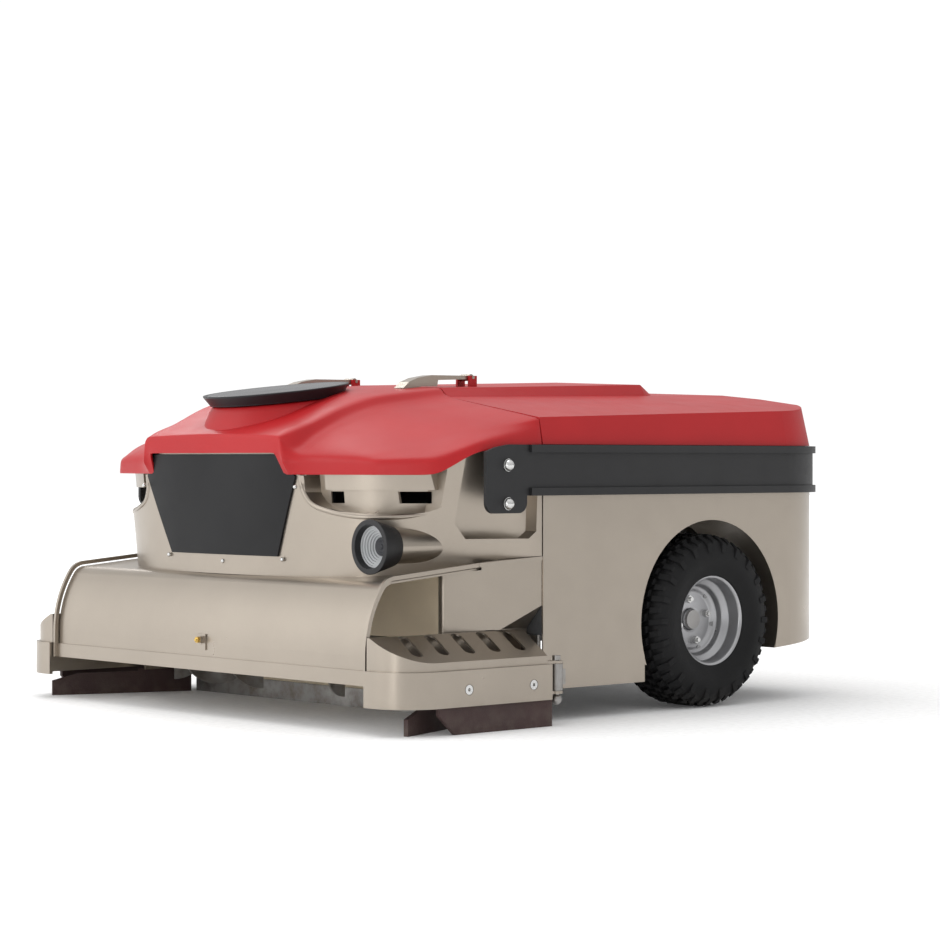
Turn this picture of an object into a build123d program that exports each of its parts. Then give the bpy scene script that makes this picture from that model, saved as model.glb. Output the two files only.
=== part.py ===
from build123d import *
import os
from math import atan2, cos, degrees, hypot, pi, radians, sin, sqrt

# Robotic floor cleaner for barns and other solid floors, in millimetres.
# It drives towards -Y on two rear wheels and one front caster. A scoop at the front funnels wet dirt
# between rubber blades to a cross auger, a suction duct lifts it into the tank, and a gate lets it out.
# +X is the machine's left side and +Z is up. The origin is on the floor under the middle of the machine.
# A station is a distance back from the front of the machine, and st() turns it into Y.

# ---------------------------------------------------------------- driving dimensions
length = 1532            # front of the side pods to the back of the rub rail
body_width = 1280        # over the rear shell's side walls
floor_gap = 1.0          # a seat that two still parts leave between them where nothing needs to touch
fit_gap = 0.05           # radial clearance of a pin or shaft in its hole

seam_station = 478       # joint between the front and rear covers
axle_from_rear = 508     # drive axle to the back of the rub rail
deck_slope = 5.1         # degrees that the scoop's deck rises towards the back

wheel_diameter = 406     # 16 x 6.50-8 tyre
wheel_width = 165
rim_flange_diameter = 232
rim_width = 137
rim_proud = 3            # outer rim flange beyond the body side
arch_radius = 236
arch_liner_inner_x = 478

shell_wall = 4
cover_wall = 5

tank_length = 930
tank_width = 880
tank_floor_z = 290
tank_height = 320
tank_wall = 5
gate_length = 240
gate_width = 260
gate_thickness = 6
gate_travel = 200

rail_width = 50
rail_height = 110
rail_wall = 4
rail_inner_half = 160
crossmember_length = 60

band_low_z = 501
band_height = 112
band_web = 8
rail_end_station = 300   # front end of the rub rail
lobe_length = 122
lobe_drop = 38
band_ridge = 7           # how far the rub rail's two ridges stand out from its web
ridge_height = 17
nut_radius = 13

scoop_end_inset = 50     # scoop end inside the body side
scoop_front_station = 8
scoop_lip_z = 102
scoop_straight_z = 165   # top of the scoop's upright front
scoop_big_radius = 260
scoop_small_radius = 50
scoop_turn = 34          # degrees of the large arc
rim_bar_depth = 9
rim_bar_width = 8
sheet_inset = 12         # the scoop's sheet lies this far inside its rim bars
sheet_thickness = 4
hem_height = 32
hem_thickness = 8

pod_overhang = 82        # pod's outer face beyond the body side
pod_length = 428         # along the pod's outer side
pod_rear_slant = 36      # how much farther back its inner side reaches
pod_gap = 4              # pod to scoop
pod_corner = 100
pod_top_z = 205
pod_edge_z = 150
pod_low_z = 65
pod_wall = 5
bumper_low_z = 59
bumper_height = 77
bumper_thickness = 9
bumper_hole_radius = 4
screw_head_radius = 10.5
slot_count = 5
first_slot_station = 88
slot_pitch = 74
slot_width = 28
slot_length = 92
hinge_pin_radius = 6
hinge_barrel_radius = 14
hinge_barrel_height = 58
hinge_ear = 6

housing_front_station = 257
housing_wall = 5
side_wall_thickness = 15   # at its front end
side_wall_corner = 12
side_wall_skin = 6
side_wall_flare_inset = 4  # its rear end inside the body side
auger_station = 312
auger_z = 115
auger_radius = 80
auger_tube_radius = 32
auger_tube_wall = 4
auger_pitch = 180
auger_turns = 2
flight_thickness = 6
trough_gap = 10
auger_axle_radius = 12
duct_radius = 55
duct_wall = 4
duct_angle = 48          # degrees that the duct rises

blade_thickness = 10
skirt_height = 72

caster_station = 640
caster_wheel_radius = 62
caster_wheel_width = 40
caster_trail = 38
caster_axle_radius = 6

pivot_station = 634      # pin that the front cover swings on
pivot_z = 774
pivot_pin_radius = 4
strap_half_spacing = 215
strap_width = 34
strap_thickness = 8

panel_radius = 171
panel_foot_radius = 155
panel_height = 26
panel_station = 232
panel_z = 744
panel_tilt = 7

sonar_side = 497
sonar_station = 97
sonar_z = 392
sonar_radius = 60
sonar_neck_radius = 44
sonar_length = 60

button_radius = 20
button_travel = 3

# ---------------------------------------------------------------- values worked out from them
half = body_width / 2
scoop_half = half - scoop_end_inset
pod_outer = half + pod_overhang
pod_inner = scoop_half + pod_gap
rear_outer_station = length - band_web - band_ridge
rear_corner = 225
axle_station = length - axle_from_rear
wheel_radius = wheel_diameter / 2
rim_outer_x = half + rim_proud
wheel_centre_x = rim_outer_x - rim_width / 2
band_outer = half + band_web + band_ridge
band_top_z = band_low_z + band_height
tank_front_station = seam_station + crossmember_length / 2
rail_top_z = tank_floor_z
rail_low_z = rail_top_z - rail_height
side_wall_inner = scoop_half - 43
side_wall_outer = side_wall_inner + side_wall_thickness
trough_radius = auger_radius + trough_gap
hinge_x = pod_outer - hinge_barrel_radius - 2
hinge_station = pod_length + hinge_barrel_radius + 13
hinge_barrel_low_z = 77


def st(station):
    return station - length / 2


# ---------------------------------------------------------------- helpers
def block(x0, x1, s0, s1, z0, z1):
    """A box between two X values, two stations and two heights."""
    return Pos((x0 + x1) / 2, st((s0 + s1) / 2), (z0 + z1) / 2) * Box(abs(x1 - x0), abs(s1 - s0), z1 - z0)


def rod_x(radius, x0, x1, station, z):
    return Pos((x0 + x1) / 2, st(station), z) * Rot(0, 90, 0) * Cylinder(radius, abs(x1 - x0))


def rod_y(radius, x, s0, s1, z):
    return Pos(x, st((s0 + s1) / 2), z) * Rot(90, 0, 0) * Cylinder(radius, abs(s1 - s0))


def rod_z(radius, x, station, z0, z1):
    return Pos(x, st(station), (z0 + z1) / 2) * Cylinder(radius, z1 - z0)


def side_face(points, x):
    """A face in the plane X = x from (station, z) points."""
    return Face(Polyline([Vector(x, st(s), z) for s, z in points], close=True).wire())


def side_prism(points, x0, x1):
    return extrude(side_face(points, x0), amount=x1 - x0, dir=(1, 0, 0))


def plan_face(points, z):
    """A face at height z from (x, station) points."""
    return Face(Polyline([Vector(x, st(s), z) for x, s in points], close=True).wire())


def plan_prism(points, z0, z1):
    return extrude(plan_face(points, z0), amount=z1 - z0, dir=(0, 0, 1))


def front_face(points, station):
    """A face in the plane of one station from (x, z) points."""
    return Face(Polyline([Vector(x, st(station), z) for x, z in points], close=True).wire())


def mirrored(shape):
    return mirror(shape, about=Plane.YZ)


def ring(outer, inner, height):
    return Cylinder(outer, height) - Cylinder(inner, height + 2)


def write(name, *shapes):
    solids = [s for shape in shapes for s in shape.solids()]
    whole = solids[0] if len(solids) == 1 else Compound(children=solids)
    whole.label = name
    export_step(whole, f"parts/{name}.step")


def both(name, left):
    """Writes the left piece and its mirror image as two nodes."""
    write(f"left_{name}", left)
    write(f"right_{name}", mirrored(left))


# ---------------------------------------------------------------- scoop
def scoop_points(inset):
    """Centres and joints of the scoop's outline at an inset from its outer edge, as (station, z)."""
    turn, slope = radians(scoop_turn), radians(deck_slope)
    c1 = (scoop_front_station + scoop_big_radius, scoop_straight_z)
    reach = scoop_big_radius - scoop_small_radius
    c2 = (c1[0] - reach * cos(turn), c1[1] + reach * sin(turn))
    big, small = scoop_big_radius - inset, scoop_small_radius - inset

    def on(centre, radius, angle):
        return (centre[0] - radius * cos(angle), centre[1] + radius * sin(angle))

    top_angle = pi / 2 - slope
    start = (scoop_front_station + inset, scoop_lip_z)
    p1 = (scoop_front_station + inset, scoop_straight_z)
    m1, p2 = on(c1, big, turn / 2), on(c1, big, turn)
    m2, p3 = on(c2, small, (turn + top_angle) / 2), on(c2, small, top_angle)
    run = seam_station - p3[0]
    end = (seam_station, p3[1] + run * sin(slope) / cos(slope))
    return start, p1, m1, p2, m2, p3, end


def deck_z(station, inset=0.0):
    """Height of the scoop's deck at a station, at an inset from its outer edge."""
    end = scoop_points(inset)[-1]
    return end[1] - (seam_station - station) * sin(radians(deck_slope)) / cos(radians(deck_slope))


def scoop_band(inset_out, inset_in, x0, x1):
    """The strip between two insets of the scoop's outline, from x0 to x1."""
    def v(p):
        return Vector(x0, st(p[0]), p[1])

    def run(points):
        s, p1, m1, p2, m2, p3, e = [v(p) for p in points]
        return [Line(s, p1), ThreePointArc(p1, m1, p2), ThreePointArc(p2, m2, p3), Line(p3, e)]

    outer, inner = scoop_points(inset_out), scoop_points(inset_in)
    edges = run(outer) + run(inner)
    edges += [Line(v(outer[-1]), v(inner[-1])), Line(v(outer[0]), v(inner[0]))]
    return extrude(Face(Wire(edges)), amount=x1 - x0, dir=(1, 0, 0))


def scoop_hood():
    """Curved sheet with its deck, and the folded hem along its lower edge."""
    inner_half = scoop_half - rim_bar_width
    sheet = scoop_band(sheet_inset, sheet_inset + sheet_thickness, -inner_half, inner_half)
    hem_back = scoop_front_station + sheet_inset + sheet_thickness
    hem = block(-inner_half, inner_half, hem_back - hem_thickness, hem_back, scoop_lip_z,
                scoop_lip_z + hem_height)
    return sheet + hem - duct_solid(duct_radius + 0.3)


def rim_bar():
    return scoop_band(0, rim_bar_depth, scoop_half - rim_bar_width, scoop_half)


def grown_rim_bar():
    return scoop_band(-1, rim_bar_depth + 1, scoop_half - rim_bar_width - 1, scoop_half + 1)


def below_deck(inset):
    """Everything under the deck plane, used to trim what stands on the deck."""
    far = 2 * length
    return side_prism([(-far, deck_z(-far, inset)), (far, deck_z(far, inset)), (far, -far), (-far, -far)],
                      -body_width, body_width)


# ---------------------------------------------------------------- front shell
# Half outlines of the shell's outside as (x share of the body's half width, station), centre to seam.
shell_low_z, shell_high_z = 300, 600


def shell_outline(points, inset, z):
    """A closed, smooth outline at height z, inset from the half outline given."""
    half_points = [(x * half, s) for x, s in points]
    moved = []
    for i, (x, s) in enumerate(half_points):
        a = half_points[max(i - 1, 0)]
        b = half_points[min(i + 1, len(half_points) - 1)]
        dx, ds = b[0] - a[0], b[1] - a[1]
        size = hypot(dx, ds)
        if i == 0:
            nx, ns = 0.0, 1.0
        elif i == len(half_points) - 1:
            nx, ns = -1.0, 0.0
        else:
            nx, ns = -ds / size, dx / size
        moved.append((x + nx * inset, s + ns * inset))
    whole = [(-x, s) for x, s in reversed(moved[1:])] + moved
    curve = Spline([Vector(x, st(s), z) for x, s in whole])
    back = Line(curve @ 1, curve @ 0)
    return Face(Wire([curve, back]))


low_outline = [(0, 84), (0.34, 94), (0.64, 136), (0.75, 200), (0.82, 300), (0.89, 395), (0.997, seam_station - 2)]
high_outline = [(0, 56), (0.38, 60), (0.66, 114), (0.845, 210), (0.925, 285), (0.975, 365), (0.997, seam_station - 2)]
wing_pocket_depth = 45
end_pocket_depth = 34
ledge_depth = 13
ledge_z = 514


def shell_block(inset):
    return loft([shell_outline(low_outline, inset, shell_low_z), shell_outline(high_outline, inset, shell_high_z)])


def side_pockets(grow):
    """Recess under each cover wing with a ledge in it, and the recess behind each rub rail end."""
    low_edge = Spline([Vector(x, st(0), z - grow) for x, z in
                       ((300 - grow, 508), (318, 484), (390, 466), (470, 460), (535, 468), (566 + grow, 500))])
    high_edge = Polyline([low_edge @ 1, Vector(570 + grow, st(0), 700), Vector(296 - grow, st(0), 700), low_edge @ 0])
    window = extrude(Face(Wire([low_edge] + high_edge.edges())), amount=260 + grow, dir=(0, 1, 0))
    wing = window & (shell_block(-20) - shell_block(wing_pocket_depth + grow))
    ledge = block(342 + grow, 536 - grow, 0, 300, ledge_z + grow, 700) & shell_block(ledge_depth + grow)
    wing = wing - ledge
    s0, s1, z = 292 - grow, seam_station - 13 + grow, 406 - grow
    end = side_prism([(s0, 700), (s0, z + 34), (s0 + 28, z), (s1 - 14, z), (s1, z + 16), (s1, 700)],
                     half - 150 - grow, half + 60)
    end = end & (shell_block(-20) - shell_block(end_pocket_depth + grow))
    return [wing, mirrored(wing), end, mirrored(end)]


def pocket_vents():
    """Openings in the back of each wing recess, under its ledge."""
    left = [block(326, 358, 60, 240, 484, ledge_z - 4), block(462, 516, 60, 300, 484, ledge_z - 4)]
    return left + [mirrored(v) for v in left]


def sonar_fairing(radius):
    return rod_y(radius, sonar_side, sonar_station + sonar_length, sonar_station + sonar_length + 190, sonar_z)


def front_shell():
    w = shell_wall
    nose_cup = sonar_cone(1)
    outer = shell_block(0) + sonar_fairing(sonar_neck_radius - 6)
    inner = shell_block(w) + sonar_fairing(sonar_neck_radius - 6 - w)
    # the fairing stays closed behind the sonar
    closed = sonar_station + sonar_length + w
    inner -= block(half - 300, half, 0, closed, 0, 800) & sonar_fairing(sonar_neck_radius)
    inner -= sonar_cone(1 + w)
    outer -= nose_cup
    for pocket in side_pockets(0):
        outer -= pocket
    for pocket in side_pockets(w):
        inner -= pocket
    shell = outer - inner - below_deck(sheet_inset)
    for vent in pocket_vents():
        shell -= vent
    # where the shell is wider than the scoop it stands on the side walls' flanges
    flange = block(scoop_half, half + 60, 0, seam_station, 0, 600) & below_deck(-1)
    shell = shell - flange - mirrored(flange)
    # above the wings' lower edge the shell stays inside the front cover
    high = block(-half - 60, half + 60, 0, seam_station + 1, wing_low_z - 2, 760)
    shell -= high - hood_block(cover_wall + 2, 60, cover_wall + 2, 20)
    for bar in (grown_rim_bar(), mirrored(grown_rim_bar())):
        shell -= bar
    for screw in panel_screws(0.1):
        shell -= screw
    return max(shell.solids(), key=lambda s: s.volume)


def panel_window():
    """The black front panel's outline seen from the front, as a prism through the shell's nose."""
    points = [(-199, 364), (199, 364), (279, 542), (240, 592), (-240, 592), (-279, 542)]
    return extrude(front_face(points, 0), amount=300, dir=(0, 1, 0))


def front_panel():
    slab = shell_block(-cover_wall) - shell_block(0)
    return (slab & panel_window()).solids()[0]


def panel_screws(extra=0.0):
    """Round head screws round the front panel, set half their depth into the shell."""
    spots = [(-286, 520, 62), (-214, 358, 83), (0, 349, 79), (214, 358, 83), (286, 520, 62)]
    return [Pos(x, st(s), z) * Sphere(5 + extra) for x, z, s in spots]


# ---------------------------------------------------------------- rear shell and rub rail
def u_outline(inset, first_station, z):
    """Closed outline of the rear body: straight sides and two round rear corners."""
    x = half - inset
    rear = rear_outer_station - inset
    r = rear_corner - inset
    s0 = first_station
    c = r * sqrt(0.5)
    pts = {
        "a": Vector(x, st(s0), z), "b": Vector(x, st(rear - r), z),
        "m": Vector(x - r + c, st(rear - r + c), z), "c": Vector(x - r, st(rear), z),
    }

    def m(v):
        return Vector(-v.X, v.Y, v.Z)

    return Face(Wire([
        Line(pts["a"], pts["b"]), ThreePointArc(pts["b"], pts["m"], pts["c"]), Line(pts["c"], m(pts["c"])),
        ThreePointArc(m(pts["c"]), m(pts["m"]), m(pts["b"])), Line(m(pts["b"]), m(pts["a"])),
        Line(m(pts["a"]), pts["a"]),
    ]))


def u_block(inset, s0, z0, z1):
    return extrude(u_outline(inset, s0, z0), amount=z1 - z0, dir=(0, 0, 1))


def rear_shell():
    low_front, low_rear, arch_rear = 72, 150, 112
    shell = u_block(0, seam_station, low_front, band_top_z) - u_block(shell_wall, 0, 0, 2 * band_top_z)
    arch = rod_x(arch_radius, -half - 20, half + 20, axle_station, wheel_radius)
    below_arch = block(-half - 20, half + 20, axle_station - arch_radius + 12, axle_station + arch_radius - 8,
                       0, wheel_radius - 60)
    rise = side_prism([(axle_station, 0), (length, 0), (length, low_rear), (axle_station, arch_rear)],
                      -half - 20, half + 20)
    shell = shell - arch - below_arch
    # liners over the wheels
    liner = rod_x(arch_radius + shell_wall, arch_liner_inner_x, half - 1, axle_station, wheel_radius)
    liner = liner - rod_x(arch_radius, 0, half + 20, axle_station, wheel_radius)
    liner = liner - block(0, half + 20, axle_station - 2 * arch_radius, axle_station + 2 * arch_radius, -100, 110)
    shell = shell + liner + mirrored(liner)
    return shell - rise - button_bore()


def rub_rail():
    web = u_block(-band_web, rail_end_station, band_low_z, band_top_z)
    low = u_block(-band_web - band_ridge, rail_end_station + 130, band_low_z, band_low_z + ridge_height)
    high = u_block(-band_web - band_ridge, rail_end_station + 130, band_top_z - ridge_height, band_top_z)
    rail = web + low + high - u_block(0, 0, 0, 2 * band_top_z)
    lobe = extrude(rail_end_plate(), amount=band_web, dir=(1, 0, 0))
    s = rail_end_station
    corner = side_prism([(s - 1, band_top_z - 16), (s + 30, band_top_z - 6), (s + 75, band_top_z + 1),
                         (s - 1, band_top_z + 1)], -half - 20, half + 20)
    return rail + lobe + mirrored(lobe) - corner - button_bore()


def rail_end_plate():
    """The rub rail's front end plate, which hangs lower than the band and has round corners."""
    s0, s1 = rail_end_station, rail_end_station + lobe_length
    z0, z1 = band_low_z - lobe_drop, band_low_z + 30
    face = side_face([(s0, z0), (s1, z0), (s1, z1), (s0, z1)], half)
    low = face.vertices().sort_by(Axis.Z)[:2]
    return fillet(low, 24)


def nut_places():
    s = rail_end_station + 63
    return [(s, band_low_z - 17), (s, band_low_z + 67)]


def rub_rail_nuts():
    """Dome nuts on a washer, two on each side."""
    shapes = []
    for s, z in nut_places():
        x = half + band_web
        dome = Pos(x + 4, st(s), z) * Sphere(nut_radius) - block(x - 40, x + 4, s - 40, s + 40, z - 40, z + 40)
        washer = rod_x(nut_radius + 1, x, x + 4, s, z)
        nut = dome + washer
        shapes += [nut, mirrored(nut)]
    return shapes


# ---------------------------------------------------------------- covers
cover_gap = 2
hood_front_station = 43
# Cross-sections of the front cover: station, then half outline as (x, z) from side bottom to centre top.
wing_low_z = 547
brow_half = 236          # half the width of the opening over the front panel
brow_z = 595
hood_sections = [
    (hood_front_station, [(264, 547), (262, 574), (260, 594), (256, 622), (248, 632), (0, 638)]),
    (hood_front_station + 30, [(298, 547), (295, 575), (288, 586), (274, 600), (258, 647), (0, 652)]),
    (129, [(480, 547), (478, 577), (448, 590), (276, 632), (260, 665), (0, 676)]),
    (207, [(592, 547), (588, 584), (500, 611), (290, 671), (268, 700), (0, 711)]),
    (291, [(632, 600), (628, 620), (542, 635), (303, 699), (281, 725), (0, 737)]),
    (380, [(637, 608), (631, 637), (588, 655), (313, 711), (290, 735), (0, 748)]),
    (seam_station - cover_gap, [(639, 614), (633, 650), (629, 672), (325, 724), (300, 745), (0, 757)]),
]


def hood_section(station, points, inset, drop):
    scale_x = half / 640
    half_points = []
    for i, (x, z) in enumerate(points):
        top = 0 if i == 0 else inset
        half_points.append((max(x * scale_x - (inset if i < 5 else 0), 0), z - top - (drop if i == 0 else 0)))
    whole = half_points + [(-x, z) for x, z in reversed(half_points[:-1])]
    return front_face(whole, station)


def hood_block(inset, drop, lead, tail):
    faces = []
    for i, (s, points) in enumerate(hood_sections):
        shift = lead if i < 2 else 0
        shift += tail if i == len(hood_sections) - 1 else 0
        faces.append(hood_section(s + shift, points, inset, drop))
    return loft(faces, ruled=True)


def front_hood():
    """Front cover, with the seat that carries the control panel."""
    outer = hood_block(0, 0, 0, 0)
    inner = hood_block(cover_wall, 60, cover_wall, 20)
    brow_edge = [(-brow_half, brow_z), (brow_half, brow_z), (brow_half + 11, wing_low_z), (brow_half + 11, 400),
                 (-brow_half - 11, 400), (-brow_half - 11, wing_low_z)]
    brow = extrude(front_face(brow_edge, 0), amount=hood_front_station + 30, dir=(0, 1, 0))
    s = hood_front_station
    lean = side_prism([(0, brow_z), (s, brow_z), (s + 20, wing_low_z - 1), (0, wing_low_z - 1)], -half, half)
    hood = outer - inner - brow - lean
    hood = max(hood.solids(), key=lambda s: s.volume)
    seat = pedestal_block(0) - hood_block(1, 60, 1, 20)
    hood = max((hood + seat).solids(), key=lambda s: s.volume)
    slab = shell_block(-cover_wall - 2) & panel_window()
    hood = hood - on_panel(panel_cone(0.5)) - slab
    for strap in hinge_straps():
        hood -= strap
    return max(hood.solids(), key=lambda s: s.volume)


def on_panel(shape):
    """Places a shape that is modelled on the control panel's own flat axes."""
    return Pos(0, st(panel_station), panel_z) * Rot(panel_tilt, 0, 0) * shape


def pedestal_block(extra):
    height = 60
    cone = Pos(0, 0, -panel_height - height / 2) * Cone(panel_foot_radius + 26 + extra, panel_foot_radius - 6 + extra, height)
    return on_panel(cone)


def panel_cone(extra):
    cone = Cone(panel_foot_radius + extra, panel_radius + extra, panel_height + extra)
    return Pos(0, 0, -panel_height / 2 - extra / 2) * cone


def control_panel():
    return on_panel(panel_cone(0))


def lid_outline(inset, z):
    return u_outline(inset, seam_station, z)


def lid_block(inset, low):
    """The rear cover's outline, with a leaning side, a sloping crown, a raised middle and a falling tail."""
    s0, s1 = seam_station, length
    front = s0 if inset == 0 else s0 - 20
    z_high = 790
    lean = 0.21
    body = loft([u_outline(inset, front, low), u_outline(inset + lean * (z_high - low), front, z_high)])
    crown_faces = []
    for station, rise in ((front, 0), (s1, 30)):
        points = [(half, 672 + rise), (325, 724 + rise * 0.7), (0, 738 + rise * 0.7)]
        points = [(x, z - inset) for x, z in points]
        points = points + [(-x, z) for x, z in reversed(points[:-1])] + [(-half, low - 5), (half, low - 5)]
        crown_faces.append(front_face(points, station))
    crown = loft(crown_faces, ruled=True)
    plateau_faces = []
    plateau_end = axle_station + 111
    for station, rise in ((front, 0), (plateau_end - inset, 20), (plateau_end + 60 - inset, -20)):
        points = [(325, 700), (325, 724 - inset), (300 - inset, 745 + rise - inset), (0, 757 + rise - inset)]
        points = points + [(-x, z) for x, z in reversed(points[:-1])]
        plateau_faces.append(front_face(points, station))
    top = crown + loft(plateau_faces, ruled=True)
    tail = side_prism([(0, low - 5), (0, 790), (plateau_end, 790 - inset), (s1 - 180, 754 - inset),
                       (s1 - 75, 732 - inset), (s1 - 15 - inset, low), (s1 - 15 - inset, low - 5)],
                      -half - 10, half + 10)
    return body & top & tail


def rear_lid():
    low = band_top_z + 1
    lid = lid_block(0, low) - lid_block(cover_wall, low - 1)
    lid = max(lid.solids(), key=lambda s: s.volume)
    for side in (-1, 1):
        for edge in (-1, 1):
            x0 = side * strap_half_spacing + edge * (strap_width / 2 + 1)
            lug = block(x0, x0 + edge * 6, pivot_station - 12, pivot_station + 12, pivot_z - 30, pivot_z + 4)
            lid += lug - lid_block(1, low)
    lid = lid - rod_x(pivot_pin_radius + fit_gap, -half, half, pivot_station, pivot_z)
    return max(lid.solids(), key=lambda s: s.volume)


def hinge_straps():
    """Two gooseneck straps that carry the front cover over the seam to their pivot pins on the rear cover."""
    z = pivot_z
    t = strap_thickness
    w = strap_width / 2
    points = [(424, 712), (520, 712), (530, z - 8), (pivot_station, z - t / 2), (pivot_station, z + t / 2),
              (510, z + 3), (468, z - 4), (440, z - 14), (424, z - 28)]
    strap = side_prism(points, strap_half_spacing - w, strap_half_spacing + w)
    strap -= lid_block(-1.5, band_top_z) - block(-half, half, 0, seam_station - cover_gap, 0, 2000)
    strap -= hood_block(cover_wall, 60, cover_wall, 20)
    strap = max(strap.solids(), key=lambda s: s.volume)
    eye = rod_x(8, strap_half_spacing - w, strap_half_spacing + w, pivot_station, pivot_z)
    pin = rod_x(pivot_pin_radius, strap_half_spacing - w - 8, strap_half_spacing + w + 8, pivot_station, pivot_z)
    strap = strap + eye + pin
    return [strap, mirrored(strap)]


# ---------------------------------------------------------------- chassis
def frame_rail():
    s0, s1 = seam_station + crossmember_length, rear_member_station()
    x0, x1 = rail_inner_half, rail_inner_half + rail_width
    w = rail_wall
    tube = block(x0, x1, s0, s1, rail_low_z, rail_top_z)
    return tube - block(x0 + w, x1 - w, s0 - 1, s1 + 1, rail_low_z + w, rail_top_z - w)


def rear_member_station():
    return rear_outer_station - shell_wall - crossmember_length


def crossmember(s0, reach):
    w = rail_wall
    s1 = s0 + crossmember_length
    tube = block(-reach, reach, s0, s1, rail_low_z, rail_top_z)
    tube -= block(-reach - 1, reach + 1, s0 + w, s1 - w, rail_low_z + w, rail_top_z - w)
    return tube - duct_solid(duct_radius + 0.3)


def manure_tank():
    """Open-topped tank on the frame rails, with the two guides of its gate."""
    x = tank_width / 2
    s0 = tank_front_station + 40
    s1 = s0 + tank_length
    z0, z1 = tank_floor_z, tank_floor_z + tank_height
    w = tank_wall
    tank = block(-x, x, s0, s1, z0, z1) - block(-x + w, x - w, s0 + w, s1 - w, z0 + w, z1 + 1)
    tank -= block(-gate_width / 2 + 20, gate_width / 2 - 20, gate_station() + 20, gate_station() + gate_length - 20,
                  z0 - 1, z0 + w + 1)
    low = z0 - floor_gap - gate_thickness - 1
    for side in (-1, 1):
        x0 = side * (gate_width / 2 + 1)
        run = (gate_station() - gate_travel, gate_station() + gate_length)
        tank += block(x0, x0 + side * 10, run[0], run[1], low, z0)
        tank += block(x0 - side * 12, x0 + side * 10, run[0], run[1], low - 5, low)
    return tank - duct_solid(duct_radius + 0.3)


def gate_station():
    return tank_front_station + 40 + tank_length - gate_length - 40


def dump_gate():
    """Sliding plate under the tank's outlet, with a pull lug."""
    s0 = gate_station()
    z1 = tank_floor_z - floor_gap
    plate = block(-gate_width / 2, gate_width / 2, s0, s0 + gate_length, z1 - gate_thickness, z1)
    lug = block(-20, 20, s0, s0 + 8, z1 - gate_thickness - 30, z1 - gate_thickness)
    return plate + lug


# ---------------------------------------------------------------- auger and its housing
def auger_housing():
    """Box over the auger: front wall, top, back wall, and the trough that wraps over the auger."""
    w = housing_wall
    s0, s1 = housing_front_station, seam_station
    top_inset = sheet_inset + sheet_thickness
    outer = side_prism([(s0, 60), (s1, 60), (s1, deck_z(s1, top_inset)), (s0, deck_z(s0, top_inset))],
                       -side_wall_inner, side_wall_inner)
    inner = side_prism([(s0 + w, 0), (s1 - w, 0), (s1 - w, deck_z(s1 - w, top_inset) - w),
                        (s0 + w, deck_z(s0 + w, top_inset) - w)], -side_wall_inner - 1, side_wall_inner + 1)
    trough = rod_x(trough_radius + w, -side_wall_inner, side_wall_inner, auger_station, auger_z)
    trough_legs = block(-side_wall_inner, side_wall_inner, auger_station, auger_station + trough_radius + w, 45, auger_z)
    bore = rod_x(trough_radius, -side_wall_inner - 1, side_wall_inner + 1, auger_station, auger_z)
    mouth = block(-side_wall_inner - 1, side_wall_inner + 1, 0, auger_station + trough_radius, -1, auger_z)
    front_cut = block(-side_wall_inner - 1, side_wall_inner + 1, 0, s0, -1, 500)
    whole = (outer - inner) + (trough + trough_legs)
    whole = whole - bore - mouth - front_cut
    low_back = block(-side_wall_inner - 1, side_wall_inner + 1, s1 - w - 1, s1 + 1, 0, rail_low_z)
    whole = whole - low_back - duct_solid(duct_radius + 0.3)
    return max(whole.solids(), key=lambda s: s.volume)


def side_wall_face(station, inset=0.0):
    """X of the side wall's flared outer face at a station."""
    run = (station - housing_front_station) / (seam_station - housing_front_station)
    return side_wall_outer + (half - side_wall_flare_inset - side_wall_outer) * run - inset


def side_wall():
    """End casting of the auger housing: flared to the rear cover, open at the back, stepped in over the pod."""
    z0 = 60
    s0, s1 = housing_front_station - 5, seam_station - 0.5
    x0, w = side_wall_inner, side_wall_skin
    wall = plan_prism([(x0, s0), (side_wall_outer, s0), (side_wall_face(s1), s1), (x0, s1)], z0, 400)
    corner = wall.edges().filter_by(Axis.Z).sort_by(Axis.Y)[:2].sort_by(Axis.X)[-1]
    wall = fillet(corner, side_wall_corner)
    s2 = s0 + 60
    pocket = plan_prism([(x0 + w, s2), (side_wall_face(s2, w), s2), (side_wall_face(s1 + 2, w), s1 + 2),
                         (x0 + w, s1 + 2)], z0 - 1, 500)
    # the step over the pod, with the facet that rises to the rear cover
    over = pod_top_z + 2
    step = loft([front_face([(scoop_half - 2, over), (side_wall_face(s), z), (half + 60, z + 20), (half + 60, 20),
                             (scoop_half - 2, 20)], s) for s, z in ((382, over), (s1 + 1, over + 52))], ruled=True)
    fore = block(scoop_half - 2, half + 60, 300, 382, 20, over)
    skin = loft([front_face([(x0, over + 2 * w), (scoop_half - 2, over + 2 * w), (side_wall_face(s), z + 2 * w),
                             (half + 60, z + 20 + 2 * w), (half + 60, 20), (x0, 20)], s)
                 for s, z in ((382, over), (s1 + 3, over + 52))], ruled=True)
    pocket = pocket - (skin & block(scoop_half - 2 - w, half + 60, 300, s1 + 3, 20, 400))
    wall = wall - pocket - step - fore
    top_inset = sheet_inset + sheet_thickness
    inner_part = wall & (block(0, scoop_half + 0.5, 0, s1 + 1, 0, 500) & below_deck(top_inset))
    outer_part = wall & (block(scoop_half + 0.5, half, 0, s1 + 1, 0, 500) & below_deck(0))
    flange = plan_prism([(x0, 300), (side_wall_face(300, -3), 300), (side_wall_face(s1, -3), s1), (x0, s1)],
                        200, 500)
    flange = flange & (below_deck(0) - below_deck(rim_bar_depth)) & block(scoop_half + 0.5, half, 0, s1, 0, 500)
    wall = inner_part + outer_part + flange
    wall = max(wall.solids(), key=lambda s: s.volume)
    return wall - rod_x(auger_axle_radius, x0 - 1, x0 + 7, auger_station, auger_z)


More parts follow.
